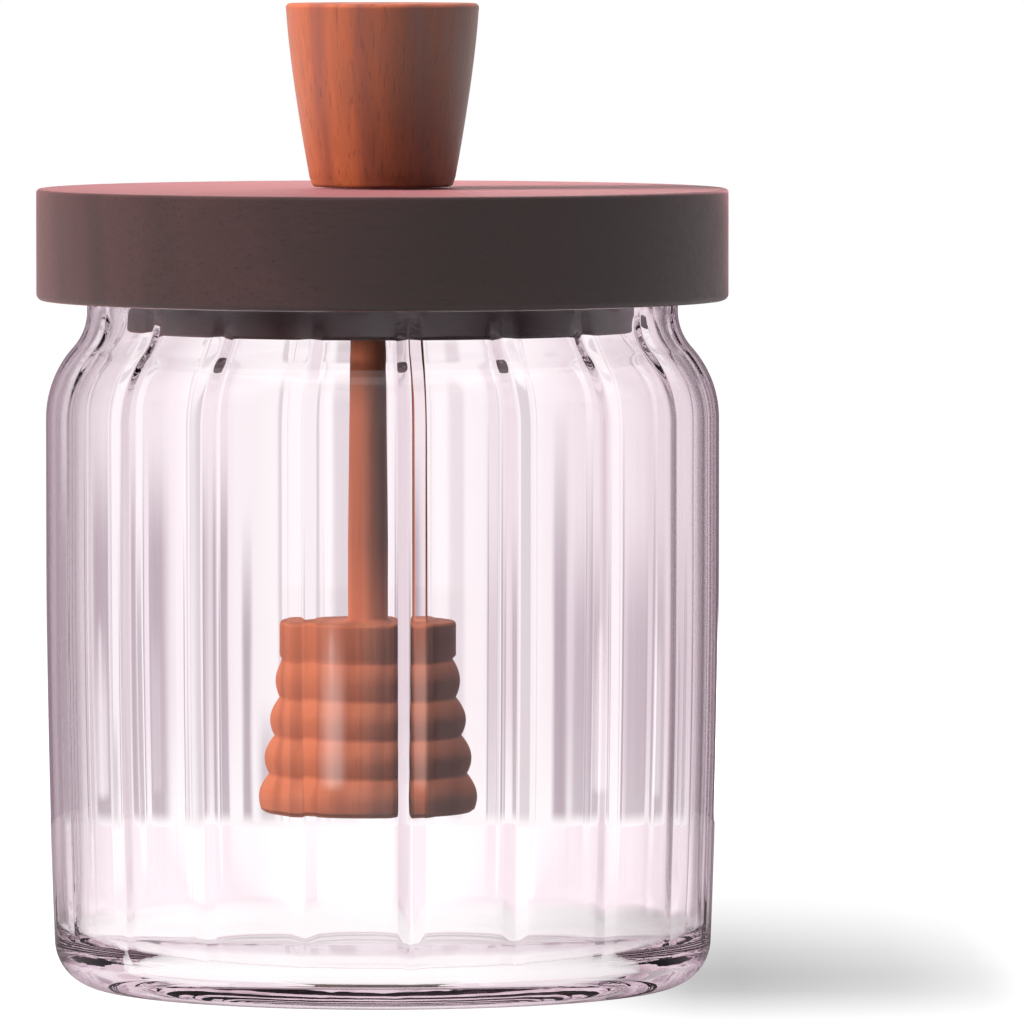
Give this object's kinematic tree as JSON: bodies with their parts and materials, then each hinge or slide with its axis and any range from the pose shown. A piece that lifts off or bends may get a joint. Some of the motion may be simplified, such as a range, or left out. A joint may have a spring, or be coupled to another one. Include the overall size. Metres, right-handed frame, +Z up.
{
  "type": "honey jar with dipper",
  "caption": "Round glass jar with upright ribs inside, a thick wooden plug lid with a conical knob, and a turned wooden honey dipper hanging from the lid.",
  "frame": {"origin": "centre of the jar's base, on the surface it stands on", "axes": "+Z up along the jar's axis; -Y is the front that the picture shows; +X is to its right"},
  "size_m": [0.105, 0.105, 0.1493],
  "materials": {
    "clear_glass": "clear, faint mauve tint, glossy",
    "dark_wood": "oiled, satin",
    "warm_wood": "oiled, satin",
    "dipper_wood": "plain, matt"
  },
  "bodies": {
    "root": {"jar": "clear_glass", "lid": "dark_wood", "knob": "warm_wood", "dipper": "dipper_wood"}
  },
  "joints": []
}
